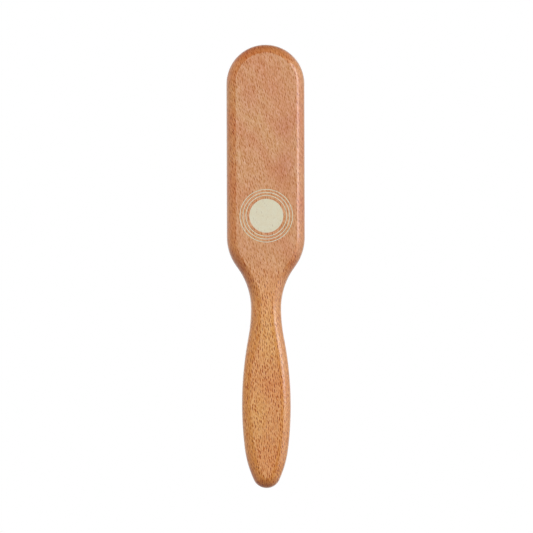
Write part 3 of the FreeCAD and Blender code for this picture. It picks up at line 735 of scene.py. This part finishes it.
def build_felt():
    high_corner = np.array(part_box("felt_backing")[1]) * 1000
    half = high_corner[0]
    top_radius = high_corner[1] - CENTRE
    under_radius = top_radius - FELT_THICK
    outer = [(r, dome(r, top_radius) - 0.12) for r in np.linspace(0.0, half - 0.5, 30)]
    edge = [(half - 0.15, dome(half, top_radius) - 0.35),
            (half - 0.10, dome(half, top_radius) - 1.1),
            (half - 0.25, dome(half, under_radius) + 0.25)]
    inner = [(r, dome(r, under_radius) + 0.12) for r in np.linspace(half - 0.6, 0.0, 30)]
    rng = np.random.default_rng(7)

    def shape(points, ring):
        # two rings in every 29 stay even, the first two at the crown among them
        return points + rng.normal(0.0, FELT_ROUGHNESS, points.shape) * (ring[:, None] % 29 > 1)

    obj = stadium_shell("pressed_felt_backing", outer + edge + inner, 0.8, shape)
    set_material(obj, felt("wool_felt"))
    return obj


cushion = build_cushion()
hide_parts("rubber_cushion")
backing = build_felt()
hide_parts("felt_backing")
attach(backing, "pin_field")
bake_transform(cushion)

# ------------------------------------------------------------------ floor
low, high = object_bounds()
middle = Vector((0.0, -0.0075, (low[2] + high[2]) / 2))
FLOOR_HALF = 4.0
FLOOR_GAP = 0.0003                   # floor below the brush
FLOOR_BOUNCE = 0.18                  # light the floor gives off, unseen by the camera


def shader_by_ray(tree, unseen, camera_sees, camera_ray):
    """One shader for the camera and another for all other rays."""
    both = tree.value("ShaderNodeMixShader", {0: camera_ray, 1: unseen, 2: camera_sees})
    tree.surface(both)


def pale_floor():
    """White to the camera with a soft shade near the brush, dim to everything else."""
    tree = material_tree("pale_floor")
    camera_ray = tree.value("ShaderNodeLightPath", output="Is Camera Ray")
    incoming, normal = tree.values("ShaderNodeNewGeometry", ("Incoming", "Normal"))
    facing = tree.value("ShaderNodeVectorMath", {0: incoming, 1: normal}, output="Value",
                        operation="DOT_PRODUCT")
    # painted shadow: the white darkens by ambient occlusion near the brush, only where the camera
    # looks down on the floor
    occlusion_shade = tree.value("ShaderNodeAmbientOcclusion", {"Distance": 0.06}, output="AO",
                          samples=12)
    level = 1.0 - occlusion_shade.linear(0.55, 1.0, to=(0.30, 0.0)) * facing.step(0.12, 0.30)
    grey = tree.join(level, level, level)
    white = tree.value("ShaderNodeEmission", {"Color": grey, "Strength": 1.0})
    bounce = tree.value("ShaderNodeEmission",
                        {"Color": (1, 0.99, 0.97, 1), "Strength": FLOOR_BOUNCE})
    shader_by_ray(tree, bounce, white, camera_ray)
    return tree.owner


def build_floor():
    mesh = bpy.data.meshes.new("floor")
    corners = [(x * FLOOR_HALF, y * FLOOR_HALF, 0) for x, y in ((-1, -1), (1, -1), (1, 1), (-1, 1))]
    mesh.from_pydata(corners, [], [(0, 1, 2, 3)])
    obj = bpy.data.objects.new("floor", mesh)
    obj.location.z = low[2] - FLOOR_GAP
    bpy.context.scene.collection.objects.link(obj)
    set_material(obj, pale_floor())
    obj.visible_glossy = False
    obj.visible_shadow = False


# ------------------------------------------------------------------ lights
FRONT = -2.0                         # azimuth of the camera, degrees
WALL_DISTANCE = 1.5


def softbox(name, place, width, height, radiance, aim=middle, tint=(1, 1, 1)):
    data = bpy.data.lights.new(name, "AREA")
    data.shape = "RECTANGLE"
    data.size, data.size_y = width, height
    data.energy = radiance * math.pi * width * height
    data.color = tint
    obj = bpy.data.objects.new(name, data)
    obj.location = place
    obj.rotation_mode = "QUATERNION"
    obj.rotation_quaternion = (Vector(aim) - Vector(place)).to_track_quat("-Z", "Y")
    obj.visible_camera = False
    bpy.context.scene.collection.objects.link(obj)
    return obj


def around(azimuth, elevation, distance):
    """A place round the brush: azimuth 0 in front of the flat back, positive to +X."""
    turn, tilt = math.radians(azimuth), math.radians(elevation)
    direction = (math.sin(turn) * math.cos(tilt), -math.cos(turn) * math.cos(tilt),
                 math.sin(tilt))
    return Vector(direction) * distance + middle


def wall(name, start, end, bottom, top, radiance, tint=(1, 1, 1)):
    """Upright softbox between two heights, filling azimuths counted from the camera's."""
    centre = math.radians((start + end) / 2 + FRONT)
    width = 2 * WALL_DISTANCE * math.tan(math.radians((end - start) / 2))
    height = (bottom + top) / 2
    place = (math.sin(centre) * WALL_DISTANCE, -math.cos(centre) * WALL_DISTANCE, height)
    return softbox(name, Vector(place), width, top - bottom, radiance, aim=(0, 0, height), tint=tint)


build_floor()
glint = wall("strip_right", 54, 76, bottom=-0.01, top=1.35, radiance=5.0, tint=(0.93, 1.02, 1.12))
glint.visible_diffuse = False
fill = softbox("fill_front", around(FRONT, elevation=28, distance=1.6),
               width=1.1, height=0.8, radiance=1.25)
fill.visible_glossy = False
behind = softbox("fill_behind", around(172, elevation=24, distance=1.6),
                 width=1.2, height=0.9, radiance=2.8)
behind.visible_glossy = False
wall("panel_right", 76, 95, bottom=-0.50, top=1.0, radiance=1.5)
low_panel = wall("panel_low_right", 54, 76, bottom=-0.50, top=-0.01, radiance=1.5)
low_panel.visible_diffuse = False
wall("panel_far_right", 95, 112, bottom=-0.50, top=0.9, radiance=0.8)

# ------------------------------------------------------------------ world
# brightness of the room: behind the camera, between the lights, either side and the ceiling
ROOM = {"front": 1.95, "gap": 0.45, "left": 0.75, "right": 0.82, "top": 0.2}


def build_room():
    """Pale room: a big soft light behind the camera, quieter walls, dim ceiling."""
    world = bpy.data.worlds.new("studio")
    bpy.context.scene.world = world
    tree = Tree(world, "ShaderNodeOutputWorld")
    generated = tree.value("ShaderNodeTexCoord", output="Generated")
    ray = tree.value("ShaderNodeVectorMath", {0: generated}, operation="NORMALIZE")
    turn = math.radians(FRONT)
    ahead, right = [
        tree.value("ShaderNodeVectorMath", {0: ray, 1: axis}, output="Value",
                   operation="DOT_PRODUCT")
        for axis in ((math.sin(turn), -math.cos(turn), 0.0), (math.cos(turn), math.sin(turn), 0.0))]
    up = ray.split()[2]
    degrees = 180.0 / math.pi
    azimuth = abs(right.maths("ARCTAN2", ahead)) * degrees
    height = up.maths("ARCSINE") * degrees
    off = ahead.maths("ARCCOSINE") * degrees
    gap = ROOM["gap"]
    beside = right.step(-0.3, 0.3, to=(ROOM["left"], ROOM["right"]))
    side = azimuth.step(46.0, 60.0) * (beside - gap) + gap
    level = (side - gap) * abs(height).step(60.0, 25.0) + gap
    level = between(height.step(30.0, 60.0), level, ROOM["top"])
    # reflections see a narrower front light than the diffuse surfaces
    glossy = tree.value("ShaderNodeLightPath", output="Is Glossy Ray")
    near = between(glossy, off.step(44.0, 26.0), off.step(34.0, 18.0))
    level = between(near, level, ROOM["front"])
    light = tree.value("ShaderNodeBackground", {"Color": (1.0, 0.995, 0.985, 1), "Strength": level})
    white = tree.value("ShaderNodeBackground", {"Color": (1, 1, 1, 1), "Strength": 1.0})
    camera_ray = tree.value("ShaderNodeLightPath", output="Is Camera Ray")
    shader_by_ray(tree, light, white, camera_ray)


build_room()

view = bpy.context.scene.view_settings
view.view_transform = "Standard"
view.look = "None"
view.exposure = 0.0
view.gamma = 1.0

# ------------------------------------------------------------------ camera
FRAME_WIDTH = 270.4975 * MM          # what the picture spans at the brush
CAMERA_DISTANCE = 1.5
CAMERA_AIM = Vector((0.00024, -0.0085, 0.11244))
CAMERA_ROLL = -0.163                 # degrees


def build_camera():
    camera = bpy.data.cameras.new("camera")
    camera.sensor_width = 36.0
    camera.lens = 36.0 * CAMERA_DISTANCE / FRAME_WIDTH
    camera.clip_start, camera.clip_end = 0.05, 20.0
    obj = bpy.data.objects.new("camera", camera)
    turn = math.radians(FRONT)
    back = Vector((math.sin(turn), -math.cos(turn), 0.0))
    obj.location = CAMERA_AIM + back * CAMERA_DISTANCE
    obj.rotation_mode = "QUATERNION"
    roll = Quaternion((0, 0, 1), math.radians(CAMERA_ROLL))
    obj.rotation_quaternion = (-back).to_track_quat("-Z", "Y") @ roll
    bpy.context.scene.collection.objects.link(obj)
    bpy.context.scene.camera = obj


build_camera()
